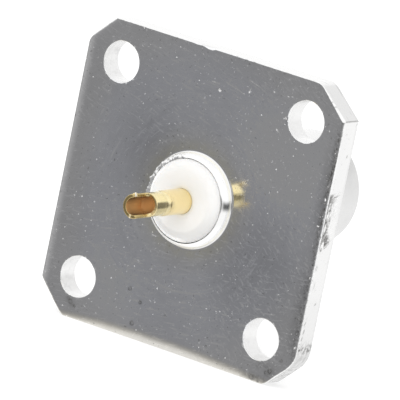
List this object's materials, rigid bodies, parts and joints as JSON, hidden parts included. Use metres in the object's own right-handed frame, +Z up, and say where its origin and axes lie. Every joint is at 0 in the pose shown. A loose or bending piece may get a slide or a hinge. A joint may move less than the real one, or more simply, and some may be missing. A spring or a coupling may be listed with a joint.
{
  "type": "bnc connector",
  "caption": "Coaxial panel jack: a square screw flange with a bayonet barrel in front and, behind it, a short collar, a white insulator and a gilt solder cup.",
  "frame": {"origin": "centre of the screw-hole pattern on the flange's rear face, on the connector's axis", "axes": "+Y along the connector's axis out of the rear, towards the solder cup, so the mating rim faces -Y; +Z up across the standing flange; +X to the left as seen from the rear"},
  "size_m": [0.0253, 0.0269, 0.0252],
  "materials": {
    "plated_metal": "bright silver-grey plate, slightly clouded, with fine scratches and nicked edges",
    "white_insulator": "waxy white, lightly turned",
    "gilt_contact": "bright gold plate"
  },
  "bodies": {
    "root": {"shell": "plated_metal", "front_insulator": "white_insulator", "rear_insulator": "white_insulator", "centre_contact": "gilt_contact"}
  },
  "joints": []
}
